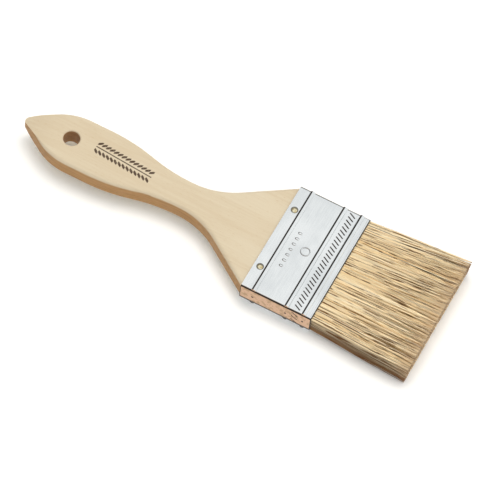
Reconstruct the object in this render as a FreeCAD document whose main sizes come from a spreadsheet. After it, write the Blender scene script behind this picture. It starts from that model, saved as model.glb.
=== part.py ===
import FreeCAD, Part
import math
import os
import Sketcher
from FreeCAD import Vector, Rotation, Placement

# Flat brush for glazes and oil: wooden handle, tinned steel ferrule, hog bristles.
# X runs from the tail of the handle to the bristle tips, Y across the width, Z up.
# The origin lies under the middle of the brush, on the table that it lies on.

doc = FreeCAD.newDocument("PastryBrush")
sheet = doc.addObject("Spreadsheet::Sheet", "Sizes")

SIZES = {
    # handle
    "handle_out": 106.5,        # tail to the ferrule
    "board_thick": 8.0,
    "nose_radius": 1.8,
    "shoulder_radius": 24.0,
    "shoulder_at": 23.0,        # tail to the widest place
    "belly_long": 9.0,          # as wide as that for this long
    "tail_half_wide": 11.3,
    "flare_long": 37.0,         # narrowest place to the ferrule
    "neck_half_wide": 6.35,
    "flare_radius": 32.0,
    "edge_round": 1.7,
    "tail_thin_long": 16.0,     # the tail thins in a curve over this
    "tail_thin_radius": 50.0,
    "tail_cut_over": 0.5,       # the cut runs past the wood by this
    "hang_hole_radius": 3.3,
    "hang_hole_at": 20.0,       # tail to the hole
    "hole_rim_bevel": 0.3,
    "tongue_long": 11.0,        # wood inside the ferrule
    "tongue_gap": 0.05,         # wood to steel, all round
    # ferrule
    "ferrule_wide": 50.8,
    "ferrule_long": 30.0,
    "ferrule_wall": 0.35,
    "ferrule_corner": 1.0,
    "bead_high": 0.6,
    "bead_wide": 1.9,
    "bead_sunk": 0.15,
    "bead_end": 0.35,           # bead end to the ferrule's side
    "bead_heel_at": 5.3,        # heel of the ferrule to each bead
    "bead_middle_at": 19.3,
    "bead_mouth_at": 26.6,
    "lip_groove_deep": 0.12,
    "lip_groove_wide": 1.5,
    "lip_groove_at": 28.5,
    "notch_at": 23.1,
    "notch_long": 3.0,
    "notch_wide": 0.5,
    "notch_deep": 0.15,
    "notch_pitch": 1.72,
    "notch_slant": 28.0,
    "notch_room": 1.4,          # face left over at the row's ends
    "side_notch_pitch": 2.4,
    "dimple_radius": 0.45,
    "dimple_deep": 0.15,
    # nails
    "nail_in": 2.6,             # heel of the ferrule to the nails
    "nail_off": 14.4,           # centre line to the nails
    "nail_shank_radius": 0.6,
    "nail_head_radius": 1.25,
    "nail_head_high": 0.55,
    "nail_long": 3.2,           # shank in the wood
    "nail_gap": 0.02,
    # setting and spacer
    "set_long": 6.0,
    "set_rim": 0.5,
    "root_deep": 3.0,           # roots and spacer in the setting
    "set_gap": 0.05,
    "spacer_long": 10.0,
    "spacer_thick": 2.4,
    "spacer_end_thick": 0.8,
    # bristles
    "bristle_out": 42.5,
    "tip_spread": 2.8,          # how far the tips fan out, each side
    "tip_rise": 2.8,            # how far they swell out of the front
    "tip_drop": 0.6,            # and out of the back, which lies on the table
    "layer_gap": 0.1,
}
for row, (name, size) in enumerate(SIZES.items(), start=1):
    sheet.set(f"A{row}", name)
    sheet.set(f"B{row}", str(size))
    sheet.setAlias(f"B{row}", name)
doc.recompute()


def cell(name):
    return float(sheet.get(name))


# Places and sizes that follow from the sheet: the text is for setExpression.
def bound(text):
    for name in sorted(SIZES, key=len, reverse=True):
        text = text.replace(f"<{name}>", f"Sizes.{name}")
    return text


def value(text):
    for name in SIZES:
        text = text.replace(f"<{name}>", f"{cell(name)}")
    return float(FreeCAD.Units.Quantity(text).Value)


INNER_THICK = "(<board_thick> + 2 * <tongue_gap>)"
OUTER_THICK = f"({INNER_THICK} + 2 * <ferrule_wall>)"
INNER_WIDE = "(<ferrule_wide> - 2 * <ferrule_wall>)"
TONGUE_WIDE = f"({INNER_WIDE} - 2 * <tongue_gap>)"
INNER_CORNER = "(<ferrule_corner> - <ferrule_wall>)"
TAIL_X = "(-(<handle_out> + <ferrule_long> + <bristle_out>) / 2)"
HEEL_X = f"({TAIL_X} + <handle_out>)"
MOUTH_X = f"({HEEL_X} + <ferrule_long>)"
MID_Z = f"({OUTER_THICK} / 2 + <bead_high>)"
SET_X = f"({HEEL_X} + <tongue_long> + <set_gap>)"
ROOT_X = f"({SET_X} + <set_long> - <root_deep>)"
ROOM_THICK = f"({INNER_THICK} - 2 * <set_rim> - 2 * <set_gap>)"
ROOM_WIDE = f"({INNER_WIDE} - 2 * <set_rim> - 2 * <set_gap>)"


def bind(thing, path, text):
    thing.setExpression(path, bound(text))


def newBody(label, x="0", y="0", z=MID_Z):
    body = doc.addObject("PartDesign::Body", label)
    body.Label = label
    bind(body, "Placement.Base.x", x)
    bind(body, "Placement.Base.y", y)
    bind(body, "Placement.Base.z", z)
    return body


def newSketch(body, name, plane, offset="0"):
    sketch = body.newObject("Sketcher::SketchObject", name)
    planes = {feature.Role: feature for feature in body.Origin.OriginFeatures}
    sketch.AttachmentSupport = [(planes[plane], "")]
    sketch.MapMode = "FlatFace"
    bind(sketch, "AttachmentOffset.Base.z", offset)
    return sketch


def fix(sketch, kind, place, text):
    number = sketch.addConstraint(Sketcher.Constraint(kind, *place, value(text)))
    bind(sketch, f"Constraints[{number}]", text)


# A rectangle about the sketch's origin, with round corners if a radius is given.
def addRectangle(sketch, wide, high, radius=None):
    first = sketch.GeometryCount
    half_w = value(wide) / 2
    half_h = value(high) / 2
    corner = value(radius) if radius else 0.0
    sides = (
        (-half_w + corner, -half_h, half_w - corner, -half_h),
        (half_w, -half_h + corner, half_w, half_h - corner),
        (half_w - corner, half_h, -half_w + corner, half_h),
        (-half_w, half_h - corner, -half_w, -half_h + corner),
    )
    for ax, ay, bx, by in sides:
        sketch.addGeometry(Part.LineSegment(Vector(ax, ay, 0), Vector(bx, by, 0)), False)
    if radius:
        centres = ((1, -1, -90), (1, 1, 0), (-1, 1, 90), (-1, -1, 180))
        for right, up, start in centres:
            centre = Vector(right * (half_w - corner), up * (half_h - corner), 0)
            circle = Part.Circle(centre, Vector(0, 0, 1), corner)
            arc = Part.ArcOfCircle(circle, math.radians(start), math.radians(start + 90))
            sketch.addGeometry(arc, False)
        for side in range(4):
            following = first + (side + 1) % 4
            arc = first + 4 + side
            sketch.addConstraint(Sketcher.Constraint("Tangent", first + side, 2, arc, 1))
            sketch.addConstraint(Sketcher.Constraint("Tangent", arc, 2, following, 1))
        for side in range(3):
            sketch.addConstraint(Sketcher.Constraint("Equal", first + 4 + side, first + 5 + side))
        fix(sketch, "Radius", (first + 4,), radius)
    else:
        for side in range(4):
            following = first + (side + 1) % 4
            sketch.addConstraint(Sketcher.Constraint("Coincident", first + side, 2, following, 1))
    sketch.addConstraint(Sketcher.Constraint("Horizontal", first))
    sketch.addConstraint(Sketcher.Constraint("Vertical", first + 1))
    sketch.addConstraint(Sketcher.Constraint("Horizontal", first + 2))
    sketch.addConstraint(Sketcher.Constraint("Vertical", first + 3))
    fix(sketch, "DistanceX", (first + 3, 1, -1, 1), f"({wide}) / 2")
    fix(sketch, "DistanceX", (-1, 1, first + 1, 1), f"({wide}) / 2")
    fix(sketch, "DistanceY", (first, 1, -1, 1), f"({high}) / 2")
    fix(sketch, "DistanceY", (-1, 1, first + 2, 1), f"({high}) / 2")


def addCircle(sketch, radius, x="0", y="0"):
    circle = Part.Circle(Vector(value(x), value(y), 0), Vector(0, 0, 1), value(radius))
    index = sketch.addGeometry(circle, False)
    fix(sketch, "Radius", (index,), radius)
    if x == "0":
        sketch.addConstraint(Sketcher.Constraint("PointOnObject", index, 3, -2))
    else:
        fix(sketch, "DistanceX", (-1, 1, index, 3), x)
    if y == "0":
        sketch.addConstraint(Sketcher.Constraint("PointOnObject", index, 3, -1))
    else:
        fix(sketch, "DistanceY", (-1, 1, index, 3), y)


def pad(body, sketch, name, length, midplane=False, reverse=False):
    feature = body.newObject("PartDesign::Pad", name)
    feature.Profile = sketch
    bind(feature, "Length", length)
    feature.Midplane = midplane
    feature.Reversed = reverse
    sketch.Visibility = False
    return feature


def pocket(body, sketch, name, length, reverse=False, midplane=False):
    feature = body.newObject("PartDesign::Pocket", name)
    feature.Profile = sketch
    bind(feature, "Length", length)
    feature.Reversed = reverse
    feature.Midplane = midplane
    sketch.Visibility = False
    return feature


def mirror(body, name, features, plane):
    planes = {feature.Role: feature for feature in body.Origin.OriginFeatures}
    feature = body.newObject("PartDesign::Mirrored", name)
    feature.Originals = features
    feature.MirrorPlane = (planes[plane], [""])
    body.Tip = feature
    return feature


# One half of the handle's outline: straight from the nose to the shoulder, a
# long S to the neck, a round flare and a straight run to the ferrule.
def drawHalfOutline(sketch):
    nose_r = cell("nose_radius")
    shoulder_r = cell("shoulder_radius")
    shoulder_x = cell("shoulder_at")
    tail_w = cell("tail_half_wide")
    belly_x = shoulder_x + cell("belly_long")
    neck_x = cell("handle_out") - cell("flare_long")
    neck_w = cell("neck_half_wide")
    flare_r = cell("flare_radius")
    heel_x = cell("handle_out")
    heel_w = value(f"{TONGUE_WIDE} / 2")

    between = Vector(shoulder_x - nose_r, tail_w - shoulder_r, 0)
    slope = math.asin((shoulder_r - nose_r) / between.Length) + math.atan2(between.y, between.x)
    outward = Vector(-math.sin(slope), math.cos(slope), 0)
    nose = Vector(nose_r, 0, 0)
    shoulder = Vector(shoulder_x, tail_w - shoulder_r, 0)
    nose_end = nose + outward * nose_r
    shoulder_start = shoulder + outward * shoulder_r

    run = neck_x - belly_x
    drop = tail_w - neck_w
    ess_r = (run ** 2 + drop ** 2) / (4 * drop)
    turn = math.asin(run / 2 / ess_r)

    flare = Vector(neck_x, neck_w + flare_r, 0)
    reach = Vector(heel_x, heel_w, 0) - flare
    low = math.atan2(reach.y, reach.x) - math.acos(flare_r / reach.Length)

    up = Vector(0, 0, 1)
    half_turn = math.pi / 2

    def arc(centre, radius, start, end):
        return Part.ArcOfCircle(Part.Circle(centre, up, radius), start, end)

    flare_end = flare + Vector(math.cos(low), math.sin(low), 0) * flare_r
    shapes = [
        Part.LineSegment(Vector(heel_x, 0, 0), Vector(0, 0, 0)),
        arc(nose, nose_r, half_turn + slope, math.pi),
        Part.LineSegment(nose_end, shoulder_start),
        arc(shoulder, shoulder_r, half_turn, half_turn + slope),
        Part.LineSegment(Vector(shoulder_x, tail_w, 0), Vector(belly_x, tail_w, 0)),
        arc(Vector(belly_x, tail_w - ess_r, 0), ess_r, half_turn - turn, half_turn),
        arc(Vector(neck_x, neck_w + ess_r, 0), ess_r, 3 * half_turn - turn, 3 * half_turn),
        arc(flare, flare_r, 3 * half_turn, low + 2 * math.pi),
        Part.LineSegment(flare_end, Vector(heel_x, heel_w, 0)),
        Part.LineSegment(Vector(heel_x, heel_w, 0), Vector(heel_x, 0, 0)),
    ]
    for shape in shapes:
        sketch.addGeometry(shape, False)

    def tie(kind, *place):
        sketch.addConstraint(Sketcher.Constraint(kind, *place))

    tie("Coincident", 0, 2, 1, 2)
    tie("Tangent", 1, 1, 2, 1)
    tie("Tangent", 2, 2, 3, 2)
    tie("Tangent", 3, 1, 4, 1)
    tie("Tangent", 4, 2, 5, 2)
    tie("Tangent", 5, 1, 6, 1)
    tie("Tangent", 6, 2, 7, 1)
    tie("Tangent", 7, 2, 8, 1)
    tie("Coincident", 8, 2, 9, 1)
    tie("Coincident", 9, 2, 0, 1)
    tie("PointOnObject", 1, 3, -1)
    tie("Coincident", 0, 2, -1, 1)
    tie("PointOnObject", 0, 1, -1)
    tie("Vertical", 9)
    tie("Horizontal", 4)
    tie("Vertical", 7, 3, 7, 1)
    fix(sketch, "Radius", (1,), "<nose_radius>")
    fix(sketch, "Radius", (3,), "<shoulder_radius>")
    fix(sketch, "Radius", (7,), "<flare_radius>")
    fix(sketch, "DistanceX", (-1, 1, 3, 1), "<shoulder_at>")
    fix(sketch, "DistanceY", (-1, 1, 3, 1), "<tail_half_wide>")
    fix(sketch, "DistanceX", (3, 1, 4, 2), "<belly_long>")
    fix(sketch, "DistanceX", (-1, 1, 7, 1), "<handle_out> - <flare_long>")
    fix(sketch, "DistanceY", (-1, 1, 7, 1), "<neck_half_wide>")
    fix(sketch, "DistanceX", (-1, 1, 9, 2), "<handle_out>")
    fix(sketch, "DistanceY", (-1, 1, 9, 1), f"{TONGUE_WIDE} / 2")


# What is cut off the tail's face, so that it thins in a curve to its tip.
def drawTailCut(sketch):
    long = cell("tail_thin_long")
    radius = cell("tail_thin_radius")
    over = cell("tail_cut_over")
    face = cell("board_thick") / 2
    turn = math.asin((long + over) / radius)
    low = face - radius + radius * math.cos(turn)
    upright = math.pi / 2

    circle = Part.Circle(Vector(long, face - radius, 0), Vector(0, 0, 1), radius)
    corners = [Vector(-over, low, 0), Vector(-over, face + over, 0),
               Vector(long, face + over, 0), Vector(long, face, 0)]
    sketch.addGeometry(Part.ArcOfCircle(circle, upright, upright + turn), False)
    for start, end in zip(corners, corners[1:]):
        sketch.addGeometry(Part.LineSegment(start, end), False)
    for kind, *place in (
        ("Coincident", 0, 2, 1, 1),
        ("Coincident", 1, 2, 2, 1),
        ("Coincident", 2, 2, 3, 1),
        ("Coincident", 3, 2, 0, 1),
        ("Vertical", 1),
        ("Horizontal", 2),
        ("Vertical", 3),
        ("Vertical", 0, 3, 0, 1),
    ):
        sketch.addConstraint(Sketcher.Constraint(kind, *place))
    fix(sketch, "Radius", (0,), "<tail_thin_radius>")
    fix(sketch, "DistanceX", (-1, 1, 0, 1), "<tail_thin_long>")
    fix(sketch, "DistanceY", (-1, 1, 0, 1), "<board_thick> / 2")
    fix(sketch, "DistanceX", (0, 2, -1, 1), "<tail_cut_over>")
    fix(sketch, "DistanceY", (0, 1, 3, 1), "<tail_cut_over>")


def makeHandle():
    body = newBody("handle", x=TAIL_X)
    outline = newSketch(body, "handle_outline", "XY_Plane")
    drawHalfOutline(outline)
    half = pad(body, outline, "handle_half", "<board_thick>", midplane=True)
    doc.recompute()
    board = mirror(body, "handle_board", [half], "XZ_Plane")
    doc.recompute()

    half_thick = cell("board_thick") / 2
    heel_x = cell("handle_out")
    rims = []
    for number, edge in enumerate(board.Shape.Edges, start=1):
        box = edge.BoundBox
        on_face = abs(abs(box.ZMin) - half_thick) < 1e-4 and box.ZLength < 1e-4
        if on_face and box.XMin < heel_x - 1e-3:
            rims.append(f"Edge{number}")
    rounding = body.newObject("PartDesign::Fillet", "handle_rounding")
    rounding.Base = (board, rims)
    bind(rounding, "Radius", "<edge_round>")
    doc.recompute()

    sliver = newSketch(body, "tail_cut_side", "XZ_Plane")
    drawTailCut(sliver)
    cut = pocket(body, sliver, "tail_cut_front", "4 * <tail_half_wide>", midplane=True)
    doc.recompute()
    mirror(body, "tail_cuts", [cut], "XY_Plane")
    doc.recompute()

    section = newSketch(body, "tongue_section", "YZ_Plane", "<handle_out>")
    addRectangle(section, TONGUE_WIDE, "<board_thick>", INNER_CORNER)
    pad(body, section, "tongue", "<tongue_long>")

    hole = newSketch(body, "hang_hole_circle", "XY_Plane")
    addCircle(hole, "<hang_hole_radius>", x="<hang_hole_at>")
    pocket(body, hole, "hang_hole", "2 * <board_thick>", midplane=True)
    nails = newSketch(body, "nail_hole_circles", "XY_Plane", "<board_thick> / 2")
    for side in ("-", ""):
        addCircle(nails, "<nail_shank_radius> + <nail_gap>",
                  x="<handle_out> + <nail_in>", y=f"{side}<nail_off>")
    front = pocket(body, nails, "nail_holes_front", "<nail_long> + <nail_gap>")
    doc.recompute()
    drilled = mirror(body, "nail_holes", [front], "XY_Plane")
    doc.recompute()

    across = 2 * cell("hang_hole_radius")
    lips = []
    for number, edge in enumerate(drilled.Shape.Edges, start=1):
        box = edge.BoundBox
        if abs(box.XLength - across) < 1e-3 and abs(box.YLength - across) < 1e-3 and box.ZLength < 1e-3:
            lips.append(f"Edge{number}")
    bevel = body.newObject("PartDesign::Chamfer", "hang_hole_bevel")
    bevel.Base = (drilled, lips)
    bind(bevel, "Size", "<hole_rim_bevel>")
    body.Tip = bevel
    return body


# A ridge or a groove across the wide face: a circle's segment, run along Y.
def drawSegment(sketch, place, wide, high, sunk, outward=True):
    half = value(wide) / 2
    rise = value(high)
    radius = (half ** 2 + rise ** 2) / (2 * rise)
    face = value(f"{OUTER_THICK} / 2")
    sign = 1 if outward else -1
    middle = value(place)
    base = face - sign * value(sunk)
    left = Vector(middle - half, face, 0)
    right = Vector(middle + half, face, 0)
    centre = Vector(middle, face + sign * (rise - radius), 0)
    spread = math.asin(half / radius)
    if rise > half:
        spread = math.pi - spread
    top = sign * math.pi / 2
    circle = Part.Circle(centre, Vector(0, 0, 1), radius)
    sketch.addGeometry(Part.ArcOfCircle(circle, top - spread, top + spread), False)
    left_end, right_end = (2, 1) if outward else (1, 2)
    corners = [right, Vector(right.x, base, 0), Vector(left.x, base, 0), left]
    for start, end in zip(corners, corners[1:]):
        sketch.addGeometry(Part.LineSegment(start, end), False)

    def tie(kind, *where):
        sketch.addConstraint(Sketcher.Constraint(kind, *where))

    tie("Coincident", 0, right_end, 1, 1)
    tie("Coincident", 1, 2, 2, 1)
    tie("Coincident", 2, 2, 3, 1)
    tie("Coincident", 3, 2, 0, left_end)
    tie("Vertical", 1)
    tie("Horizontal", 2)
    tie("Vertical", 3)
    way = "-" if outward else "+"
    fix(sketch, "DistanceX", (-1, 1, 3, 2), f"{place} - {wide} / 2")
    fix(sketch, "DistanceX", (-1, 1, 1, 1), f"{place} + {wide} / 2")
    fix(sketch, "DistanceY", (-1, 1, 3, 2), f"{OUTER_THICK} / 2")
    fix(sketch, "DistanceY", (-1, 1, 1, 1), f"{OUTER_THICK} / 2")
    fix(sketch, "DistanceY", (-1, 1, 2, 1), f"{OUTER_THICK} / 2 {way} {sunk}")
    fix(sketch, "Radius", (0,), f"({wide} * {wide} / 4 + {high} * {high}) / (2 * {high})")


# A row of slanted notches pressed into one face, about the sketch's origin.
def pressNotches(body, name, plane, offset, room, pitch, axis, lean, reverse=False):
    count = f"floor(({room} - <notch_room>) / {pitch})"
    sketch = newSketch(body, f"{name}_outline", plane, offset)
    sketch.AttachmentOffset = Placement(Vector(), Rotation(Vector(0, 0, 1), 0))
    bind(sketch, "AttachmentOffset.Base.x", "<notch_at>")
    bind(sketch, "AttachmentOffset.Base.y", f"-{pitch} * ({count} - 1) / 2")
    bind(sketch, "AttachmentOffset.Rotation.Angle", f"{lean}<notch_slant>")
    addRectangle(sketch, "<notch_long>", "<notch_wide>")
    first = pocket(body, sketch, name, "<notch_deep>", reverse=reverse)
    doc.recompute()
    axes = {feature.Role: feature for feature in body.Origin.OriginFeatures}
    row = body.newObject("PartDesign::LinearPattern", f"{name}_row")
    row.Originals = [first]
    row.Direction = (axes[axis], [""])
    row.Mode = "Spacing"
    bind(row, "Offset", pitch)
    bind(row, "Occurrences", count)
    body.Tip = row
    doc.recompute()


def makeFerrule():
    body = newBody("ferrule", x=HEEL_X)
    band = newSketch(body, "band_section", "YZ_Plane")
    addRectangle(band, "<ferrule_wide>", OUTER_THICK, "<ferrule_corner>")
    addRectangle(band, INNER_WIDE, INNER_THICK, INNER_CORNER)
    pad(body, band, "band", "<ferrule_long>")

    formed = []
    for name in ("heel", "middle", "mouth"):
        sketch = newSketch(body, f"bead_{name}_arc", "XZ_Plane")
        drawSegment(sketch, f"<bead_{name}_at>", "<bead_wide>", "<bead_high>", "<bead_sunk>")
        long = "<ferrule_wide> - 2 * <bead_end>"
        formed.append(pad(body, sketch, f"bead_{name}", long, midplane=True))
    groove = newSketch(body, "lip_groove_arc", "XZ_Plane")
    drawSegment(groove, "<lip_groove_at>", "<lip_groove_wide>", "<lip_groove_deep>",
                "<bead_sunk>", outward=False)
    formed.append(pocket(body, groove, "lip_groove", "<ferrule_wide>", midplane=True))
    nails = newSketch(body, "nail_hole_circles", "XY_Plane", f"{OUTER_THICK} / 2")
    for side in ("-", ""):
        addCircle(nails, "<nail_shank_radius> + <nail_gap>", x="<nail_in>", y=f"{side}<nail_off>")
    formed.append(pocket(body, nails, "nail_holes", "2 * <ferrule_wall>"))
    doc.recompute()
    mirror(body, "back_face", formed, "XY_Plane")

    dimples = newSketch(body, "dimple_circles", "XZ_Plane", "<ferrule_wide> / 2")
    for name in ("heel", "middle", "mouth"):
        addCircle(dimples, "<dimple_radius>", x=f"<bead_{name}_at>")
    near = pocket(body, dimples, "dimples", "<dimple_deep>")
    doc.recompute()
    mirror(body, "far_dimples", [near], "XZ_Plane")
    doc.recompute()

    half_thick = f"{OUTER_THICK} / 2"
    pressNotches(body, "front_notch", "XY_Plane", half_thick,
                 "<ferrule_wide>", "<notch_pitch>", "Y_Axis", "-")
    pressNotches(body, "back_notch", "XY_Plane", f"-{half_thick}",
                 "<ferrule_wide>", "<notch_pitch>", "Y_Axis", "", reverse=True)
    pressNotches(body, "near_notch", "XZ_Plane", "<ferrule_wide> / 2",
                 OUTER_THICK, "<side_notch_pitch>", "Z_Axis", "-")
    pressNotches(body, "far_notch", "XZ_Plane", "-<ferrule_wide> / 2",
                 OUTER_THICK, "<side_notch_pitch>", "Z_Axis", "", reverse=True)
    return body


def makeNail(label, y_side, front):
    z_side = "+" if front else "-"
    body = newBody(label, x=f"{HEEL_X} + <nail_in>", y=f"{y_side}<nail_off>",
                   z=f"{MID_Z} {z_side} {OUTER_THICK} / 2")
    if not front:
        body.Placement = Placement(body.Placement.Base, Rotation(Vector(1, 0, 0), 180))
    half = newSketch(body, f"{label}_half", "XZ_Plane")
    head_r = cell("nail_head_radius")
    head_h = cell("nail_head_high")
    shank_r = cell("nail_shank_radius")
    deep = cell("ferrule_wall") + cell("nail_long")
    dome_r = (head_r ** 2 + head_h ** 2) / (2 * head_h)
    dome = Part.Circle(Vector(0, head_h - dome_r, 0), Vector(0, 0, 1), dome_r)
    low = math.asin((dome_r - head_h) / dome_r)
    corners = [Vector(head_r, 0, 0), Vector(shank_r, 0, 0), Vector(shank_r, shank_r - deep, 0),
               Vector(0, -deep, 0), Vector(0, head_h, 0)]
    half.addGeometry(Part.ArcOfCircle(dome, low, math.pi / 2), False)
    for start, end in zip(corners, corners[1:]):
        half.addGeometry(Part.LineSegment(start, end), False)
    for index in range(1, 4):
        half.addConstraint(Sketcher.Constraint("Coincident", index, 2, index + 1, 1))
    half.addConstraint(Sketcher.Constraint("Coincident", 0, 1, 1, 1))
    half.addConstraint(Sketcher.Constraint("Coincident", 4, 2, 0, 2))
    half.addConstraint(Sketcher.Constraint("PointOnObject", 0, 3, -2))
    half.addConstraint(Sketcher.Constraint("PointOnObject", 0, 1, -1))
    half.addConstraint(Sketcher.Constraint("Horizontal", 1))
    half.addConstraint(Sketcher.Constraint("Vertical", 2))
    half.addConstraint(Sketcher.Constraint("PointOnObject", 3, 2, -2))
    half.addConstraint(Sketcher.Constraint("PointOnObject", 4, 2, -2))
    fix(half, "DistanceX", (-1, 1, 0, 1), "<nail_head_radius>")
    fix(half, "DistanceY", (-1, 1, 4, 2), "<nail_head_high>")
    fix(half, "DistanceX", (-1, 1, 1, 2), "<nail_shank_radius>")
    fix(half, "DistanceY", (3, 2, -1, 1), "<ferrule_wall> + <nail_long>")
    fix(half, "DistanceY", (3, 2, 2, 2), "<nail_shank_radius>")
    turned = body.newObject("PartDesign::Revolution", f"{label}_turned")
    turned.Profile = half
    turned.ReferenceAxis = (half, ["V_Axis"])
    turned.Angle = 360.0
    half.Visibility = False
    return body


# The resin that holds the roots: a block with one open room for them.
def makeSetting():
    body = newBody("setting_block", x=SET_X)
    section = newSketch(body, "setting_section", "YZ_Plane")
    addRectangle(section, f"{INNER_WIDE} - 2 * <set_gap>", f"{INNER_THICK} - 2 * <set_gap>", INNER_CORNER)
    pad(body, section, "setting", "<set_long>")
    room = newSketch(body, "root_room_section", "YZ_Plane", "<set_long>")
    addRectangle(room, f"{ROOM_WIDE} + 2 * <set_gap>", f"{ROOM_THICK} + 2 * <set_gap>")
    pocket(body, room, "root_room", "<root_deep>")
    return body


# The wooden strip between the two layers, thinner towards the mouth.
def makeSpacer():
    body = newBody("spacer_strip", x=ROOT_X)
    side = newSketch(body, "spacer_side", "XZ_Plane")
    long = cell("spacer_long")
    thick = cell("spacer_thick") / 2
    thin = cell("spacer_end_thick") / 2
    corners = [Vector(0, -thick, 0), Vector(long, -thin, 0), Vector(long, thin, 0), Vector(0, thick, 0)]
    for index in range(4):
        side.addGeometry(Part.LineSegment(corners[index], corners[(index + 1) % 4]), False)
    for index in range(4):
        side.addConstraint(Sketcher.Constraint("Coincident", index, 2, (index + 1) % 4, 1))
    side.addConstraint(Sketcher.Constraint("PointOnObject", 3, 1, -2))
    side.addConstraint(Sketcher.Constraint("PointOnObject", 0, 1, -2))
    side.addConstraint(Sketcher.Constraint("Vertical", 1))
    fix(side, "DistanceY", (0, 1, -1, 1), "<spacer_thick> / 2")
    fix(side, "DistanceY", (-1, 1, 3, 1), "<spacer_thick> / 2")
    fix(side, "DistanceY", (1, 1, -1, 1), "<spacer_end_thick> / 2")
    fix(side, "DistanceY", (-1, 1, 1, 2), "<spacer_end_thick> / 2")
    fix(side, "DistanceX", (-1, 1, 1, 1), "<spacer_long>")
    pad(body, side, "spacer", ROOM_WIDE, midplane=True)
    return body


# One layer of bristle, lofted through sections (along, width, inner z, outer z).
def makeLayer(label, start_x, side, sections):
    body = newBody(label, x=start_x)
    sketches = []
    for number, (along, wide, inner, outer) in enumerate(sections):
        sketch = newSketch(body, f"{label}_section_{number}", "YZ_Plane", along)
        bind(sketch, "AttachmentOffset.Base.y", f"{side}({inner} + {outer}) / 2")
        addRectangle(sketch, wide, f"({outer} - {inner})", INNER_CORNER)
        sketch.Visibility = False
        sketches.append(sketch)
    loft = body.newObject("PartDesign::AdditiveLoft", f"{label}_loft")
    loft.Profile = sketches[0]
    loft.Sections = sketches[1:]
    loft.Ruled = True
    return body


def makeBristles(parts):
    spacer_half = "(<spacer_thick> / 2 + <set_gap>)"
    spacer_end_half = "(<spacer_end_thick> / 2 + <set_gap>)"
    taper = f"(({spacer_half} - {spacer_end_half}) * <root_deep> / <spacer_long>)"
    mouth_wide = f"({INNER_WIDE} - 2 * <set_gap>)"
    mouth_half = f"({INNER_THICK} / 2 - <set_gap>)"
    layer_half = "(<layer_gap> / 2)"
    roots = [
        ("0", ROOM_WIDE, spacer_half, f"({ROOM_THICK} / 2)"),
        ("<root_deep>", ROOM_WIDE, f"({spacer_half} - {taper})", f"({ROOM_THICK} / 2)"),
        ("<spacer_long>", mouth_wide, spacer_end_half, mouth_half),
        (f"{MOUTH_X} - {ROOT_X}", mouth_wide, layer_half, mouth_half),
    ]
    tip_wide = f"({mouth_wide} + 2 * <tip_spread>)"
    for face, side, swell in (("front", "", "<tip_rise>"), ("back", "-", "<tip_drop>")):
        free = [
            ("0", mouth_wide, layer_half, mouth_half),
            ("<bristle_out>", tip_wide, layer_half, f"({mouth_half} + {swell})"),
        ]
        parts.append(makeLayer(f"bristle_roots_{face}", ROOT_X, side, roots))
        parts.append(makeLayer(f"bristles_{face}", MOUTH_X, side, free))


parts = [makeHandle(), makeFerrule()]
for face in ("front", "back"):
    for name, y_side in (("near", "-"), ("far", "")):
        parts.append(makeNail(f"nail_{face}_{name}", y_side, face == "front"))
parts.append(makeSetting())
parts.append(makeSpacer())
makeBristles(parts)
doc.recompute()

for thing in doc.Objects:
    if "Invalid" in thing.State or "Error" in thing.State:
        raise RuntimeError(f"{thing.Name} didn't build: {thing.State}")
os.makedirs("parts", exist_ok=True)
for part in parts:
    shape = part.Shape
    if shape.isNull() or not shape.isValid() or not shape.Solids:
        raise RuntimeError(f"{part.Label} isn't a valid solid")
    shape.exportStep(f"parts/{part.Label}.step")
    print(part.Label, len(shape.Solids), round(shape.Volume, 1), shape.BoundBox)
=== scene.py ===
import bpy
import math
import random
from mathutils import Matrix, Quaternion, Vector


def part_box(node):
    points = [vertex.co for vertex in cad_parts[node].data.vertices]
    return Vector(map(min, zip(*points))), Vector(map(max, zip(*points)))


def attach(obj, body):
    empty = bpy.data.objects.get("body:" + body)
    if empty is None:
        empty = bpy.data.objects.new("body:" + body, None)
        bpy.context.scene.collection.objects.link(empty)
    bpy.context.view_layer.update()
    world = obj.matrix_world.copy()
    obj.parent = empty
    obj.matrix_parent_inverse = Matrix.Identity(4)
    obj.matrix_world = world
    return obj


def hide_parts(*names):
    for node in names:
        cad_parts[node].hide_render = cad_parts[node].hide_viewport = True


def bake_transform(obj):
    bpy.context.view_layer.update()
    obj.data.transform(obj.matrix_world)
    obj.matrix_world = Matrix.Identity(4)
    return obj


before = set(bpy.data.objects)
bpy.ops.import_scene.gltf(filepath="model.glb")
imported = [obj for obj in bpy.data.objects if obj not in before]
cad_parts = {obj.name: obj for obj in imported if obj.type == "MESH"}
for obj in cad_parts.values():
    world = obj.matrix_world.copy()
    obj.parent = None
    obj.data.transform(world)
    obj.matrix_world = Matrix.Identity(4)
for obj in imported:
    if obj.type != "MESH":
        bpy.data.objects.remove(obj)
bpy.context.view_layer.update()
random.seed(41)

# Places come from the frame: the ferrule, the handle and the free bristle.
ferruleLow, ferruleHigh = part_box("ferrule")
handleLow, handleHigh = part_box("handle")
frontLow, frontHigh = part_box("bristles_front")
backLow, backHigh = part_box("bristles_back")
frontRootLow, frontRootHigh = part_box("bristle_roots_front")
backRootLow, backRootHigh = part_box("bristle_roots_back")
heelX = ferruleLow.x
mouthX = ferruleHigh.x
midZ = (ferruleLow.z + ferruleHigh.z) / 2
plateHalf = 0.0044                         # half the ferrule's thickness, without its beads
faceZ = midZ + plateHalf
tailX = handleLow.x


def clearSelection():
    bpy.ops.object.select_all(action="DESELECT")


def makeActive(piece):
    clearSelection()
    piece.select_set(True)
    bpy.context.view_layer.objects.active = piece


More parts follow.
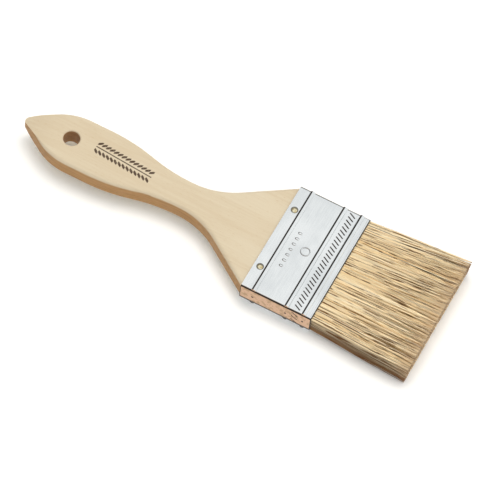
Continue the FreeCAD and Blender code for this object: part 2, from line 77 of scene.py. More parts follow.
# A CAD node's mesh, copied, merged and shaded smooth, to stand for the node.
def smoothCopy(nodeName, pieceName, material, angle):
    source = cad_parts[nodeName]
    piece = bpy.data.objects.new(pieceName, source.data.copy())
    bpy.context.scene.collection.objects.link(piece)
    makeActive(piece)
    bpy.ops.object.mode_set(mode="EDIT")
    bpy.ops.mesh.select_all(action="SELECT")
    bpy.ops.mesh.remove_doubles(threshold=0.000002)
    bpy.ops.mesh.normals_make_consistent(inside=False)
    bpy.ops.object.mode_set(mode="OBJECT")
    if piece.data.has_custom_normals:
        bpy.ops.mesh.customdata_custom_splitnormals_clear()
    bpy.ops.object.shade_smooth_by_angle(angle=math.radians(angle))
    flatter = piece.modifiers.new("flat_faces_stay_flat", "WEIGHTED_NORMAL")
    flatter.keep_sharp = True
    bpy.ops.object.modifier_apply(modifier=flatter.name)
    piece.data.materials.clear()
    piece.data.materials.append(material)
    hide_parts(nodeName)
    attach(piece, "brush")
    return piece


# Short forms for shader nodes, on a material or on the world.
def newMaterial(name):
    material = bpy.data.materials.new(name)
    material.use_nodes = True
    return material


def shaderOf(material):
    return material.node_tree.nodes["Principled BSDF"]


def addNode(material, kind, inputs=None, **settings):
    node = material.node_tree.nodes.new(kind)
    for key, setting in settings.items():
        setattr(node, key, setting)
    for key, given in (inputs or {}).items():
        if isinstance(given, bpy.types.NodeSocket):
            material.node_tree.links.new(given, node.inputs[key])
        else:
            node.inputs[key].default_value = given
    return node


def calc(material, operation, first, second=0.0, third=0.0):
    node = addNode(material, "ShaderNodeMath", {0: first, 1: second, 2: third}, operation=operation)
    return node.outputs[0]


def plus(material, first, second):
    return calc(material, "ADD", first, second)


def minus(material, first, second):
    return calc(material, "SUBTRACT", first, second)


def times(material, first, second):
    return calc(material, "MULTIPLY", first, second)


def larger(material, first, second):
    return calc(material, "MAXIMUM", first, second)


def between(material, source, low, high, start=0.0, end=1.0):
    node = addNode(material, "ShaderNodeMapRange",
                   {"Value": source, "From Min": low, "From Max": high, "To Min": start, "To Max": end},
                   interpolation_type="SMOOTHSTEP")
    return node.outputs["Result"]


def mixColour(material, amount, first, second):
    node = addNode(material, "ShaderNodeMix", data_type="RGBA", blend_type="MIX")
    for index, given in ((0, amount), (6, first), (7, second)):
        if isinstance(given, bpy.types.NodeSocket):
            material.node_tree.links.new(given, node.inputs[index])
        elif index == 0:
            node.inputs[index].default_value = given
        else:
            node.inputs[index].default_value = (*given, 1.0)
    return node.outputs[2]


def noiseAt(material, coordinates, scale, detail, rough, distortion=0.0):
    mapping = addNode(material, "ShaderNodeMapping", {"Vector": coordinates, "Scale": scale})
    noise = addNode(material, "ShaderNodeTexNoise",
                    {"Vector": mapping.outputs[0], "Scale": 1.0, "Detail": detail,
                     "Roughness": rough, "Distortion": distortion})
    return noise.outputs[0]


def link(material, output, node, socket):
    material.node_tree.links.new(output, node.inputs[socket])


def addBump(material, height, distance, strength):
    inputs = {"Height": height, "Distance": distance, "Strength": strength}
    return addNode(material, "ShaderNodeBump", inputs).outputs[0]


handleWood = {
    "pale": (0.645, 0.545, 0.39),
    "deep": (0.595, 0.48, 0.325),
    "edge": (0.44, 0.22, 0.062),
    "edgeStreak": (0.27, 0.125, 0.035),
    "fleck": (0.50, 0.33, 0.17),
    "burn": (0.050, 0.022, 0.010),
    "broadGrain": (14, 120, 90),           # waves in a metre, along, across and through
    "streakGrain": (38, 1250, 700),
    "fineGrain": (240, 5200, 5200),
    "fleckGrain": (620, 4300, 4300),
    "sawnGrain": (90, 900, 2600),
    "scorchGrain": (2400, 2400, 2400),
    "roughness": 0.56,
    "grainDeep": 0.00003,
    "earAt": (tailX + 0.02995, 0.0016),    # the burned wheat ear's foot
    "earTurn": -4.2,                       # against the handle's length
    "earLong": 0.0249,
    "kernels": 14,
    "kernelOff": 0.0019,                   # kernels off the stem
    "kernelLong": 0.00150,
    "kernelWide": 0.00052,
    "kernelLean": 38,
    "stemWide": (0.00032, 0.00014),        # its soft edge, from clear to full
}


def burnedEar(material, x, y, grain):
    given = handleWood
    turn = math.radians(given["earTurn"])
    offX = minus(material, x, given["earAt"][0])
    offY = minus(material, y, given["earAt"][1])
    x = plus(material, times(material, offX, math.cos(turn)), times(material, offY, math.sin(turn)))
    y = minus(material, times(material, offY, math.cos(turn)), times(material, offX, math.sin(turn)))
    pitch = given["earLong"] / given["kernels"]
    along = calc(material, "DIVIDE", x, pitch)
    inside = times(material, calc(material, "GREATER_THAN", along, 0.0),
                   calc(material, "LESS_THAN", along, float(given["kernels"])))
    cellX = times(material, minus(material, calc(material, "FRACT", along), 0.5), pitch)
    cellY = minus(material, calc(material, "ABSOLUTE", y), given["kernelOff"])
    lean = math.radians(given["kernelLean"])
    turnedX = plus(material, times(material, cellX, math.cos(lean)), times(material, cellY, math.sin(lean)))
    turnedY = minus(material, times(material, cellY, math.cos(lean)), times(material, cellX, math.sin(lean)))
    longPart = calc(material, "POWER", calc(material, "DIVIDE", turnedX, given["kernelLong"]), 2.0)
    widePart = calc(material, "POWER", calc(material, "DIVIDE", turnedY, given["kernelWide"]), 2.0)
    ragged = calc(material, "MULTIPLY_ADD", grain, 0.9, -0.45)
    reach = plus(material, plus(material, longPart, widePart), ragged)
    kernel = between(material, reach, 1.25, 0.65)
    stem = between(material, calc(material, "ABSOLUTE", y), *given["stemWide"])
    return times(material, larger(material, kernel, stem), inside)


def makeHandleWood():
    material = newMaterial("sanded_handle_wood")
    given = handleWood
    place = addNode(material, "ShaderNodeTexCoord")
    spot = place.outputs["Object"]
    split = addNode(material, "ShaderNodeSeparateXYZ", {0: spot})
    facing = addNode(material, "ShaderNodeSeparateXYZ", {0: place.outputs["Normal"]})
    broad = noiseAt(material, spot, given["broadGrain"], 3, 0.5, 0.6)
    streak = noiseAt(material, spot, given["streakGrain"], 4, 0.6, 0.3)
    fine = noiseAt(material, spot, given["fineGrain"], 2, 0.6)
    fleck = noiseAt(material, spot, given["fleckGrain"], 1, 0.4)
    grain = plus(material, times(material, broad, 0.55), times(material, streak, 0.45))
    tone = between(material, grain, 0.36, 0.64)
    colour = mixColour(material, tone, given["deep"], given["pale"])
    grainDark = between(material, fine, 0.42, 0.62, 0.13, 0.0)
    colour = mixColour(material, grainDark, colour, given["deep"])
    flecks = between(material, fleck, 0.66, 0.76, 0.0, 0.42)
    colour = mixColour(material, flecks, colour, given["fleck"])
    # The walls that don't face up are browner: partly the wood's own darker edges, partly painted shade.
    upright = calc(material, "ABSOLUTE", facing.outputs[2])
    side = between(material, upright, 0.60, 0.14, 0.0, 0.94)
    colour = mixColour(material, side, colour, given["edge"])
    sawn = between(material, noiseAt(material, spot, given["sawnGrain"], 3, 0.6), 0.40, 0.66)
    sideStreak = times(material, times(material, side, sawn), 0.55)
    colour = mixColour(material, sideStreak, colour, given["edgeStreak"])
    onFront = calc(material, "GREATER_THAN", facing.outputs[2], 0.9)
    patchy = noiseAt(material, spot, given["scorchGrain"], 3, 0.65)
    ear = burnedEar(material, split.outputs[0], split.outputs[1], patchy)
    burned = times(material, ear, onFront)
    scorch = times(material, burned, between(material, patchy, 0.25, 0.55, 0.72, 0.97))
    colour = mixColour(material, scorch, colour, given["burn"])
    shader = shaderOf(material)
    link(material, colour, shader, "Base Color")
    rough = between(material, streak, 0.3, 0.7, given["roughness"] - 0.06, given["roughness"] + 0.08)
    link(material, rough, shader, "Roughness")
    shader.inputs["Specular IOR Level"].default_value = 0.38
    height = plus(material, times(material, fine, 0.5), times(material, flecks, -1.2))
    height = plus(material, height, times(material, burned, -2.2))
    link(material, addBump(material, height, given["grainDeep"], 0.7), shader, "Normal")
    return material


handleMaterial = makeHandleWood()
handlePiece = smoothCopy("handle", "wooden_handle", handleMaterial, 40)
print("handle done")


ferruleTin = {
    "plate": (0.86, 0.875, 0.88),
    "dull": (0.77, 0.79, 0.80),
    "warmSide": (0.70, 0.44, 0.285),
    "sideSpots": (0.36, 0.24, 0.11),
    "pressed": (0.055, 0.042, 0.034),      # painted shade and dark reflection: pressed notches, cut edges, folds, beads and nail rings
    "cloudy": (90, 60, 90),                # waves in a metre, along, across and through
    "rolled": (2600, 110, 900),
    "spotty": (520, 520, 520),
    "wavy": (70, 45, 70),
    "wavesDeep": 0.00012,
    "roughness": 0.20,
    "rimShow": 0.00036,                    # painted shade as a dark line at the sheet's cut edges
    "bend": 0.0011,                        # the folded corners' reach into each wall
    "recessShadeDeep": (0.00002, 0.00009),       # below the wall, where the painted shade in recesses starts and is full
    "lipUnshaded": 0.0030,                    # no painted recess shade this close to the mouth
    "lipGroove": 0.0024,
    "lowEdgeShade": (0.0025, 0.0018),           # painted shade along the foot of the narrow sides, above the bottom
    "lineDark": 0.97,                      # painted dark reflection along the beads' heel-side flanks and the folded corners
    "nailShadow": (0.00134, 0.00160),        # painted contact shadow round each nail's head
}


def makeTin():
    material = newMaterial("tinned_sheet")
    given = ferruleTin
    place = addNode(material, "ShaderNodeTexCoord")
    spot = place.outputs["Object"]
    facing = addNode(material, "ShaderNodeSeparateXYZ", {0: place.outputs["Normal"]})
    cloud = noiseAt(material, spot, given["cloudy"], 3, 0.55)
    rolled = noiseAt(material, spot, given["rolled"], 3, 0.6)
    mixed = plus(material, times(material, cloud, 0.7), times(material, rolled, 0.3))
    mottle = between(material, mixed, 0.38, 0.64)
    colour = mixColour(material, mottle, given["dull"], given["plate"])
    across = calc(material, "ABSOLUTE", facing.outputs[1])
    side = between(material, across, 0.25, 0.70)
    colour = mixColour(material, side, colour, given["warmSide"])
    spots = noiseAt(material, spot, given["spotty"], 3, 0.7)
    stain = between(material, spots, 0.46, 0.66, 0.0, 0.62)
    colour = mixColour(material, times(material, stain, side), colour, given["sideSpots"])
    x, y, z = addNode(material, "ShaderNodeSeparateXYZ", {0: spot}).outputs
    deepZ = calc(material, "ABSOLUTE", minus(material, z, midZ))
    deepY = calc(material, "ABSOLUTE", y)
    # Painted shade in the pressed notches: surface sunk below the walls is darkened.
    starts, full = given["recessShadeDeep"]
    onFace = times(material, calc(material, "LESS_THAN", deepY, ferruleHigh.y - given["bend"]),
                   between(material, deepZ, plateHalf - starts, plateHalf - full))
    onSide = times(material, calc(material, "LESS_THAN", deepZ, plateHalf - given["bend"]),
                   between(material, deepY, ferruleHigh.y - starts, ferruleHigh.y - full))
    inRow = calc(material, "LESS_THAN", x, mouthX - given["lipUnshaded"])
    recessShade = times(material, larger(material, onFace, onSide), inRow)
    # Painted shade as dark lines at the mouth's cut edge and along the heel of the narrow sides.
    lip = calc(material, "GREATER_THAN", x, mouthX - given["rimShow"])
    atHeel = calc(material, "LESS_THAN", x, heelX + given["rimShow"] * 0.7)
    heelShade = times(material, atHeel, side)
    # Painted shade on the downward-facing folds and along the foot of the narrow sides.
    underShade = between(material, facing.outputs[2], -0.02, -0.16)
    clear, dark = given["lowEdgeShade"]
    lowEdgeShade = between(material, z, ferruleLow.z + clear, ferruleLow.z + dark)
    underShade = larger(material, underShade, times(material, lowEdgeShade, side))
    underShade = times(material, underShade, calc(material, "GREATER_THAN", across, 0.3))
    shadeLines = larger(material, larger(material, lip, heelShade), underShade)
    # Painted contact shadow: a dark ring round each nail's head.
    nailLow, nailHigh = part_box("nail_front_far")
    nailX = (nailLow.x + nailHigh.x) / 2
    nailY = (nailLow.y + nailHigh.y) / 2
    offX = minus(material, x, nailX)
    offY = minus(material, deepY, nailY)
    squares = plus(material, times(material, offX, offX), times(material, offY, offY))
    offNail = calc(material, "SQRT", squares)
    inner, outer = given["nailShadow"]
    nailShadow = between(material, offNail, outer, inner)
    shadeLines = larger(material, shadeLines, times(material, nailShadow, 0.9))
    # Painted dark reflection on the beads' heel-side flanks and in the rounded corners.
    beadFlankShade = times(material, between(material, facing.outputs[0], -0.12, -0.28),
                     calc(material, "LESS_THAN", across, 0.6))
    beadFlankShade = times(material, beadFlankShade, calc(material, "LESS_THAN", x, mouthX - given["lipGroove"]))
    foldShade = times(material, between(material, across, 0.40, 0.52), between(material, across, 0.98, 0.92))
    flankAndFoldShade = times(material, larger(material, beadFlankShade, foldShade), given["lineDark"])
    shadeLines = larger(material, shadeLines, flankAndFoldShade)
    # Painted shade: the recesses and the dark lines take the dark colour.
    colour = mixColour(material, larger(material, recessShade, shadeLines), colour, given["pressed"])
    shader = shaderOf(material)
    link(material, colour, shader, "Base Color")
    shader.inputs["Metallic"].default_value = 1.0
    rough = between(material, cloud, 0.3, 0.7, given["roughness"] + 0.07, given["roughness"] - 0.03)
    link(material, rough, shader, "Roughness")
    wavy = noiseAt(material, spot, given["wavy"], 2, 0.5)
    link(material, addBump(material, wavy, given["wavesDeep"], 0.2), shader, "Normal")
    return material


tinMaterial = makeTin()
ferrulePiece = smoothCopy("ferrule", "tin_ferrule", tinMaterial, 38)

panelMark = {
    "ringAt": (heelX + 0.0146, 0.0, faceZ),
    "ringRadius": 0.0018,
    "ringThick": 0.00022,
    "dropFrom": 0.0062,                    # the row of pressed drops, across the panel
    "dropStep": 0.0027,
    "drops": 7,
    "dropAlong": heelX + 0.0093,
    "dropRadius": 0.00072,
    "dropHigh": 0.00022,
    "dropSquash": (1.25, 0.8),             # longer along the brush than across it
}


# A pressed ring and a row of drops, in place of a size mark.
def makePanelMark():
    given = panelMark
    clearSelection()
    bpy.ops.mesh.primitive_torus_add(major_segments=48, minor_segments=10, location=given["ringAt"],
                                     major_radius=given["ringRadius"], minor_radius=given["ringThick"])
    ring = bpy.context.object
    bpy.ops.mesh.primitive_uv_sphere_add(segments=20, ring_count=10, radius=given["dropRadius"],
                                         location=(given["dropAlong"], given["dropFrom"], faceZ))
    drop = bpy.context.object
    drop.scale = (*given["dropSquash"], given["dropHigh"] / given["dropRadius"])
    pieces = [ring, drop]
    for number in range(1, given["drops"]):
        nextDrop = drop.copy()
        nextDrop.data = drop.data.copy()
        nextDrop.location.y = given["dropFrom"] - number * given["dropStep"]
        bpy.context.scene.collection.objects.link(nextDrop)
        pieces.append(nextDrop)
    clearSelection()
    for piece in pieces:
        piece.select_set(True)
    bpy.context.view_layer.objects.active = ring
    bpy.ops.object.join()
    ring.name = "panel_mark"
    bpy.ops.object.transform_apply(location=True, rotation=True, scale=True)
    bpy.ops.object.shade_smooth()
    ring.data.materials.append(tinMaterial)
    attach(ring, "brush")


makePanelMark()
print("ferrule done")


nailBrass = {
    "names": ("nail_front_near", "nail_front_far", "nail_back_near", "nail_back_far"),
    "dull": (0.62, 0.50, 0.27),
    "bright": (0.86, 0.78, 0.56),
    "wear": (900, 900, 900),
}


def makeNailBrass():
    material = newMaterial("nail_brass")
    spot = addNode(material, "ShaderNodeTexCoord").outputs["Object"]
    wear = noiseAt(material, spot, nailBrass["wear"], 3, 0.6)
    worn = between(material, wear, 0.4, 0.62)
    colour = mixColour(material, worn, nailBrass["dull"], nailBrass["bright"])
    shader = shaderOf(material)
    link(material, colour, shader, "Base Color")
    shader.inputs["Metallic"].default_value = 1.0
    link(material, between(material, wear, 0.35, 0.7, 0.30, 0.20), shader, "Roughness")
    return material


brassMaterial = makeNailBrass()
for nailName in nailBrass["names"]:
    nailPiece = smoothCopy(nailName, f"domed_{nailName}", brassMaterial, 35)
print("nails done")


tuft = {
    "thick": 0.00028,                      # the thickest bristle
    "thin": (0.68, 1.0),                   # share of that, bristle by bristle
    "tipThin": 0.62,                       # and at the tip
    "rowStep": 0.000262,                   # bristle to bristle at the mouth
    "layerStep": 0.000262,                 # and row to row
    "cutSlant": 0.0012,                    # the back bristles are shorter by this
    "darkPart": 0.05,                      # share of dark bristles
    "points": 9,                           # along the free part
    "clumpWide": 0.00085,
    "clumpDeep": 0.00085,
    "pull": (0.25, 0.90),                  # towards the clump's middle at the tip
    "wave": 0.00022,
    "waveLong": (0.022, 0.046),
    "stray": 0.00020,
    "ragged": 0.00013,
    "darkStep": 0.00105,                   # dark lock to dark lock
    "darkTurn": 260.0,                     # locks shift through the thickness, turns in a metre
    "lockWander": (34, 420, 200),          # waves in a metre, along, across and through
    "lockHere": (85, 700, 300),            # where the locks show at all
    "sideShadeDeep": 0.0045,                   # painted shade: the narrow sides are darker this deep
    "brownStreak": (50, 900, 900),
    "brownTop": (0.0005, 0.0015),          # fades in below the top row
    "brownLow": (0.0006, -0.0014),         # and to its full about the middle
    "rootStray": (0.00004, 0.00003),       # across and through
    "rootDrawn": 0.985,                    # the roots stand a little closer together
    "rootFlat": 0.30,                      # and each layer is thinner at the root
    "rootPart": 0.0009,                    # and further from the middle, round the spacer
    "insideMouth": 0.0012,                 # last straight point, inside the lip
    "clumpLoose": 0.15,
    "clumpLean": 0.00070,
    "clumpTone": 0.06,
    "clumpShort": 0.00025,
    "brokenPart": 0.04,                    # share of broken bristles
    "brokenShort": (0.0008, 0.0050),
    "ownWave": 0.00010,
    "sink": 0.0001,                        # how far they may pass the CAD bristles' underside
    "bendLong": 0.026,
}

bristleColour = {
    "stops": ((0.0, (0.17, 0.075, 0.02)), (0.16, (0.42, 0.22, 0.075)), (0.40, (0.78, 0.50, 0.215)),
              (0.68, (0.975, 0.75, 0.43)), (1.0, (1.0, 0.89, 0.66))),
    "lock": (0.20, 0.085, 0.022),
    # painted shade on the tuft's narrow sides
    "side": (0.20, 0.085, 0.030),
    "tip": (0.50, 0.29, 0.17),
    "cut": (0.20, 0.095, 0.05),
    # painted shadow where the bristles leave the ferrule
    "mouth": (0.035, 0.02, 0.012),
    "darkTone": (0.16, 0.08),              # middle and spread, on the stops above
    "paleTone": (0.80, 0.07),
    "roughness": 0.50,
    "sheen": 0.07,
}


def makeBristleMaterial():
    material = newMaterial("hog_bristle")
    given = bristleColour
    tone = addNode(material, "ShaderNodeAttribute", attribute_name="tone").outputs["Fac"]
    along = addNode(material, "ShaderNodeAttribute", attribute_name="along").outputs["Fac"]
    ramp = addNode(material, "ShaderNodeValToRGB", {"Fac": tone})
    stops = given["stops"]
    ramp.color_ramp.elements[0].position = stops[0][0]
    ramp.color_ramp.elements[0].color = (*stops[0][1], 1)
    ramp.color_ramp.elements[1].position = stops[-1][0]
    ramp.color_ramp.elements[1].color = (*stops[-1][1], 1)
    for position, shade in stops[1:-1]:
        ramp.color_ramp.elements.new(position).color = (*shade, 1)
    lock = addNode(material, "ShaderNodeAttribute", attribute_name="lock").outputs["Vector"]
    split = addNode(material, "ShaderNodeSeparateXYZ", {0: lock})
    rootY, rootZ = split.outputs[1], split.outputs[2]
    wander = times(material, noiseAt(material, lock, tuft["lockWander"], 2, 0.5), 2.6)
    turns = calc(material, "MULTIPLY_ADD", rootY, 1 / tuft["darkStep"], wander)
    turns = plus(material, turns, times(material, rootZ, tuft["darkTurn"]))
    wave = calc(material, "SINE", times(material, turns, 2 * math.pi))
    here = between(material, noiseAt(material, lock, tuft["lockHere"], 1, 0.5), 0.43, 0.51)
    dark = times(material, between(material, wave, 0.50, 0.86), here)
    colour = mixColour(material, times(material, dark, 0.95), ramp.outputs[0], given["lock"])
    # Painted shade: the tuft's narrow sides darker below the top row, in streaks and fully in the lower
    # rows.
    sideDeep = between(material, calc(material, "ABSOLUTE", rootY), frontRootHigh.y - tuft["sideShadeDeep"],
                       frontRootHigh.y - 0.4 * tuft["sideShadeDeep"])
    clear, brown = tuft["brownTop"]
    belowTop = between(material, rootZ, frontRootHigh.z - clear, frontRootHigh.z - brown)
    sideDeep = times(material, sideDeep, belowTop)
    streak = noiseAt(material, lock, tuft["brownStreak"], 2, 0.5)
    sideStreak = between(material, streak, 0.38, 0.60, 0.25, 0.85)
    clear, brown = tuft["brownLow"]
    lowRows = between(material, rootZ, midZ + clear, midZ + brown, 0.0, 0.84)
    sideShade = times(material, sideDeep, larger(material, sideStreak, lowRows))
    colour = mixColour(material, sideShade, colour, given["side"])
    tipShade = between(material, along, 0.80, 1.0, 0.0, 0.28)
    colour = mixColour(material, tipShade, colour, given["tip"])
    # Painted shade on the cut ends of the bristles.
    cutEndShade = between(material, along, 0.978, 0.996, 0.0, 0.75)
    colour = mixColour(material, cutEndShade, colour, given["cut"])
    # Painted shadow: the bristles are near black where they leave the ferrule.
    mouthShadow = between(material, along, 0.016, 0.004, 0.0, 0.85)
    colour = mixColour(material, mouthShadow, colour, given["mouth"])
    shader = shaderOf(material)
    link(material, colour, shader, "Base Color")
    shader.inputs["Roughness"].default_value = given["roughness"]
    shader.inputs["Specular IOR Level"].default_value = given["sheen"]
    return material


bristleMaterial = makeBristleMaterial()


# Roots in staggered rows over one layer's mouth: (y, z) of each bristle.
def rootPlaces(low, high):
    inset = tuft["thick"] / 2
    rows = int((high.z - low.z - 2 * inset) / tuft["layerStep"]) + 1
    columns = int((high.y - low.y - 2 * inset) / tuft["rowStep"]) + 1
    strayAcross, strayThrough = tuft["rootStray"]
    places = []
    for row in range(rows):
        for column in range(columns):
            shift = 0.5 * (row % 2)
            y = low.y + inset + (column + shift) * tuft["rowStep"] + random.gauss(0, strayAcross)
            z = low.z + inset + row * tuft["layerStep"] + random.gauss(0, strayThrough)
            if low.y + inset <= y <= high.y - inset:
                places.append((y, min(max(z, low.z + inset), high.z - inset)))
    return places


# The clump that a bristle joins. Each clump has a seed of its own, so its place alone decides it.
def clumpFor(y, z, clumps):
    spotY = y / tuft["clumpWide"] + random.gauss(0, tuft["clumpLoose"])
    spotZ = z / tuft["clumpDeep"] + random.gauss(0, tuft["clumpLoose"])
    key = (round(spotY), round(spotZ))
    if key not in clumps:
        maker = random.Random(key[0] * 977 + key[1] * 31 + 5)
        clumps[key] = {
            "y": (key[0] + maker.uniform(-0.35, 0.35)) * tuft["clumpWide"],
            "z": (key[1] + maker.uniform(-0.35, 0.35)) * tuft["clumpDeep"],
            "pull": maker.uniform(*tuft["pull"]),
            "long": maker.uniform(*tuft["waveLong"]),
            "phase": maker.uniform(0, 2 * math.pi),
            "high": maker.uniform(0.2, 1.0) * tuft["wave"],
            "lean": maker.gauss(0, tuft["clumpLean"]),
            "tone": maker.gauss(0, tuft["clumpTone"]),
            "short": maker.uniform(0, tuft["clumpShort"]),
        }
    return clumps[key]


# The line of one bristle, from its root in the ferrule to its cut end.
def bristleLine(y, z, layer, clumps):
    spread, rise = layer["spread"], layer["rise"]
    rootZ = z + (math.copysign(tuft["rootPart"], z - midZ) - tuft["rootFlat"] * (z - midZ))
    clump = clumpFor(y, z, clumps)
    strayY = random.gauss(0, tuft["stray"])
    strayZ = random.gauss(0, tuft["stray"] * 0.5)
    cut = abs(random.gauss(0, tuft["ragged"])) + clump["short"]
    if random.random() < tuft["brokenPart"]:
        cut += random.uniform(*tuft["brokenShort"])
    cut += tuft["cutSlant"] * (frontRootHigh.z - z) / (frontRootHigh.z - backRootLow.z)
    length = layer["tipX"] - mouthX - cut
    own = random.uniform(0, 2 * math.pi)
    points = [(layer["rootX"], y * tuft["rootDrawn"], rootZ)]
    points.append((mouthX - tuft["insideMouth"], y, z))
    for step in range(1, tuft["points"]):
        part = step / (tuft["points"] - 1)
        fan = 1 + spread * part
        clumpY = clump["y"] * fan + clump["lean"] * part
        clumpZ = midZ + (clump["z"] - midZ) * (1 + rise * part)
        pull = clump["pull"] * part ** 1.6
        goY = y * fan + strayY * part ** 1.3
        goZ = midZ + (z - midZ) * (1 + rise * part) + strayZ * part ** 1.3
        goY += (clumpY - goY) * pull
        goZ += (clumpZ - goZ) * pull
        angle = 2 * math.pi * part * length / clump["long"]
        ease = min(1.0, part * 2.2)
        goY += math.sin(angle + clump["phase"]) * clump["high"] * ease
        goZ += math.sin(angle * 0.8 + clump["phase"] * 1.7) * clump["high"] * 0.5 * ease
        goY += math.sin(angle * 1.3 + own) * tuft["ownWave"] * ease
        points.append((mouthX + length * part, goY, max(goZ, layer["floorZ"])))
    return points, clump["tone"]


# Half of one layer's bristles, as one piece.
def makeLayer(pieceName, places, layer, clumps, replaced):
    clearSelection()
    bpy.ops.curve.primitive_bezier_curve_add(location=(0, 0, 0))
    bunch = bpy.context.object
    bunch.name = pieceName
    bunch.data.splines.clear()
    bunch.data.bevel_depth = tuft["thick"] / 2
    bunch.data.bevel_resolution = 0
    bunch.data.resolution_u = 1
    tones = []
    for y, z in places:
        points, clumpTone = bristleLine(y, z, layer, clumps)
        spline = bunch.data.splines.new("POLY")
        spline.points.add(len(points) - 1)
        girth = random.uniform(*tuft["thin"])
        for number, (px, py, pz) in enumerate(points):
            spline.points[number].co = (px, py, pz, 1)
            share = max(0, number - 1) / (len(points) - 2)
            spline.points[number].radius = girth * (1 - (1 - tuft["tipThin"]) * share ** 2)
        dark = random.random() < tuft["darkPart"]
        shade = random.gauss(*bristleColour["darkTone" if dark else "paleTone"])
        tones.append(min(1.0, max(0.0, shade + clumpTone)))
    makeActive(bunch)
    bpy.ops.object.convert(target="MESH")
    bunch = bpy.context.object
    mesh = bunch.data
    each = len(mesh.vertices) // len(tones)
    toneValues, alongValues, lockValues = [], [], []
    for number, vertex in enumerate(mesh.vertices):
        y, z = places[number // each]
        part = (vertex.co.x - mouthX) / (layer["tipX"] - mouthX)
        toneValues.append(tones[number // each])
        alongValues.append(min(1.0, max(0.0, part)))
        lockValues.extend((vertex.co.x, y, z))
    mesh.attributes.new("tone", "FLOAT", "POINT").data.foreach_set("value", toneValues)
    mesh.attributes.new("along", "FLOAT", "POINT").data.foreach_set("value", alongValues)
    mesh.attributes.new("lock", "FLOAT_VECTOR", "POINT").data.foreach_set("vector", lockValues)
    bpy.ops.object.mode_set(mode="EDIT")          # ends are closed last, so the order above holds
    bpy.ops.mesh.select_all(action="SELECT")
    bpy.ops.mesh.fill_holes(sides=4)
    bpy.ops.mesh.normals_make_consistent(inside=False)
    bpy.ops.object.mode_set(mode="OBJECT")
    bpy.ops.object.shade_smooth()
    bunch.data.materials.clear()
    bunch.data.materials.append(bristleMaterial)
    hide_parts(*replaced)
    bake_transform(bunch)
    print(pieceName, len(tones), "bristles,", each, "points each,", len(bunch.data.polygons), "faces")


def makeTuft():
    clumps = {}
    frontRise = (frontHigh.z - midZ) / (frontRootHigh.z - midZ) - 1
    backRise = (midZ - backLow.z) / (midZ - backRootLow.z) - 1
    for face, rootLow, rootHigh, tipHigh, rise in (
        ("front", frontRootLow, frontRootHigh, frontHigh, frontRise),
        ("back", backRootLow, backRootHigh, backHigh, backRise),
    ):
        layer = {
            "rootX": rootLow.x,
            "tipX": tipHigh.x,
            "spread": tipHigh.y / rootHigh.y - 1,
            "rise": rise,
            "floorZ": backLow.z + tuft["thick"] / 2 - tuft["sink"],
        }
        places = rootPlaces(rootLow, rootHigh)
        random.shuffle(places)
        half = len(places) // 2
        replaced = (f"bristles_{face}", f"bristle_roots_{face}")
        makeLayer(f"bristle_{face}_a", places[:half], layer, clumps, replaced)
        makeLayer(f"bristle_{face}_b", places[half:], layer, clumps, replaced)


makeTuft()
print("bristles done")


setResin = {"deep": (0.10, 0.055, 0.025), "clear": (0.21, 0.125, 0.06), "cloud": (500, 500, 500)}
spacerWood = {"deep": (0.62, 0.44, 0.24), "pale": (0.78, 0.62, 0.39), "grain": (900, 40, 900)}


def makeResin():
    material = newMaterial("set_resin")
    spot = addNode(material, "ShaderNodeTexCoord").outputs["Object"]
    cloud = noiseAt(material, spot, setResin["cloud"], 3, 0.6)
    amount = between(material, cloud, 0.35, 0.65)
    colour = mixColour(material, amount, setResin["deep"], setResin["clear"])
    shader = shaderOf(material)
    link(material, colour, shader, "Base Color")
    link(material, between(material, cloud, 0.3, 0.7, 0.35, 0.55), shader, "Roughness")
    return material


def makeSpacerWood():
    material = newMaterial("sawn_spacer_wood")
    spot = addNode(material, "ShaderNodeTexCoord").outputs["Object"]
    grain = noiseAt(material, spot, spacerWood["grain"], 4, 0.6)
    amount = between(material, grain, 0.35, 0.68)
    colour = mixColour(material, amount, spacerWood["deep"], spacerWood["pale"])
    shader = shaderOf(material)
    link(material, colour, shader, "Base Color")
    shader.inputs["Roughness"].default_value = 0.8
    link(material, addBump(material, grain, 0.00008, 0.6), shader, "Normal")
    return material


for nodeName, material in (("setting_block", makeResin()), ("spacer_strip", makeSpacerWood())):
    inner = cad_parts[nodeName]
    inner.data.materials.clear()
    inner.data.materials.append(material)
print("setting and spacer done")


studio = {
    "tableTilt": 1.6,                      # the tail stands a little off the table
    "tableWide": 3.0,
    "tableColour": (0.985, 0.975, 0.955),
    "tableGap": 0.0002,                    # below the CAD bristles' underside
    "tableGlow": 0.04,                     # the table's own faint glow, painted light that lifts the shadow
    "glowColour": (1.0, 0.985, 0.955, 1.0),
    "roomShade": (0.28, 0.285, 0.29),      # the walls that the tin mirrors
    "roomLight": (0.975, 0.99, 0.985),     # its ceiling and windows
    "roomStrength": 0.98,
    "domeRadius": 3.0,                     # white backdrop, seen only past the table's edge
    "domeColour": (0.95, 0.955, 0.96, 1),
    "panels": (                            # name, direction, distance, size, watts and colour
        ("key_panel", (0.0, 0.22, 0.98), 1.8, (1.2, 0.8), 13.8, (1.0, 0.985, 0.955)),
        ("fill_panel", (0.05, 0.10, 1.0), 1.7, (2.6, 2.6), 3, (0.985, 0.99, 1.0)),
    ),
    "panelAim": (0.01, 0, 0),
    "cameraAt": (0.32295, -0.88987, 1.58619),
    "cameraAim": (0.01113, -0.00476, 0.00015),
    "cameraRoll": 9.21,
    "cameraLens": 347.06,
}


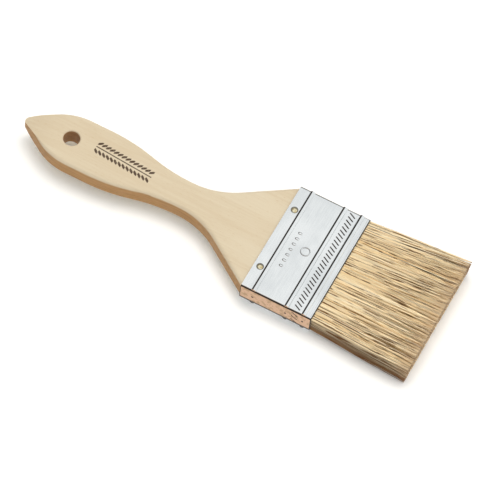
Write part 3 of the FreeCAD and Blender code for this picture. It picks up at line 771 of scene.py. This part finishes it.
def makeTable():
    given = studio
    clearSelection()
    bpy.ops.mesh.primitive_plane_add(size=given["tableWide"], location=(0, 0, 0))
    table = bpy.context.object
    table.name = "table"
    table.rotation_euler = (0, -math.radians(given["tableTilt"]), 0)
    drop = math.tan(math.radians(given["tableTilt"])) * backHigh.x
    table.location = (0, 0, backLow.z - given["tableGap"] - drop)
    material = newMaterial("white_table")
    spot = addNode(material, "ShaderNodeTexCoord").outputs["Object"]
    cloud = noiseAt(material, spot, (3, 3, 3), 2, 0.5)
    shade = tuple(part * 0.985 for part in given["tableColour"])
    colour = mixColour(material, between(material, cloud, 0.3, 0.7), shade, given["tableColour"])
    shader = shaderOf(material)
    link(material, colour, shader, "Base Color")
    shader.inputs["Roughness"].default_value = 0.85
    shader.inputs["Specular IOR Level"].default_value = 0.2
    shader.inputs["Emission Color"].default_value = given["glowColour"]
    shader.inputs["Emission Strength"].default_value = given["tableGlow"]
    table.data.materials.append(material)
    table.visible_glossy = False            # the tin mirrors the room


def makeBackdrop():
    clearSelection()
    bpy.ops.mesh.primitive_uv_sphere_add(segments=32, ring_count=16, radius=studio["domeRadius"])
    dome = bpy.context.object
    dome.name = "white_backdrop"
    material = newMaterial("white_backdrop")
    shader = shaderOf(material)
    shader.inputs["Base Color"].default_value = (0, 0, 0, 1)
    shader.inputs["Specular IOR Level"].default_value = 0.0
    shader.inputs["Emission Color"].default_value = studio["domeColour"]
    shader.inputs["Emission Strength"].default_value = 1.0
    dome.data.materials.append(material)
    dome.visible_glossy = False
    dome.visible_diffuse = False
    dome.visible_shadow = False
    dome.visible_transmission = False


def addPanel(name, direction, distance, size, power, colour):
    aim = Vector(studio["panelAim"])
    clearSelection()
    bpy.ops.object.light_add(type="AREA", location=aim + Vector(direction).normalized() * distance)
    panel = bpy.context.object
    panel.name = name
    panel.data.shape = "RECTANGLE"
    panel.data.size, panel.data.size_y = size
    panel.data.energy = power
    panel.data.color = colour
    panel.rotation_mode = "QUATERNION"
    panel.rotation_quaternion = (-Vector(direction)).to_track_quat("-Z", "Y")
    panel.visible_glossy = False            # the tin mirrors the room, not the lamps


def makeLight():
    given = studio
    for panel in given["panels"]:
        addPanel(*panel)
    world = bpy.data.worlds.new("studio_room")
    bpy.context.scene.world = world
    world.use_nodes = True
    place = addNode(world, "ShaderNodeTexCoord")
    split = addNode(world, "ShaderNodeSeparateXYZ", {0: place.outputs["Generated"]})
    x, y, z = split.outputs
    ceiling = between(world, z, 0.48, 0.72)
    mouthSide = times(world, between(world, x, 0.30, 0.60), between(world, z, -0.25, 0.05))
    floorGlow = between(world, z, 0.10, -0.12)
    lit = larger(world, larger(world, ceiling, mouthSide), floorGlow)
    colour = mixColour(world, lit, given["roomShade"], given["roomLight"])
    background = world.node_tree.nodes["Background"]
    world.node_tree.links.new(colour, background.inputs["Color"])
    background.inputs["Strength"].default_value = given["roomStrength"]


def makeCamera():
    given = studio
    clearSelection()
    bpy.ops.object.camera_add(location=given["cameraAt"])
    camera = bpy.context.object
    camera.name = "viewer"
    way = Vector(given["cameraAim"]) - Vector(given["cameraAt"])
    roll = Quaternion((0, 0, 1), math.radians(given["cameraRoll"]))
    camera.rotation_mode = "QUATERNION"
    camera.rotation_quaternion = way.to_track_quat("-Z", "Y") @ roll
    camera.data.lens = given["cameraLens"]
    camera.data.sensor_width = 36
    camera.data.clip_end = 20
    bpy.context.scene.camera = camera


makeTable()
makeBackdrop()
makeLight()
makeCamera()
bpy.context.scene.view_settings.view_transform = "Standard"
print("studio done")
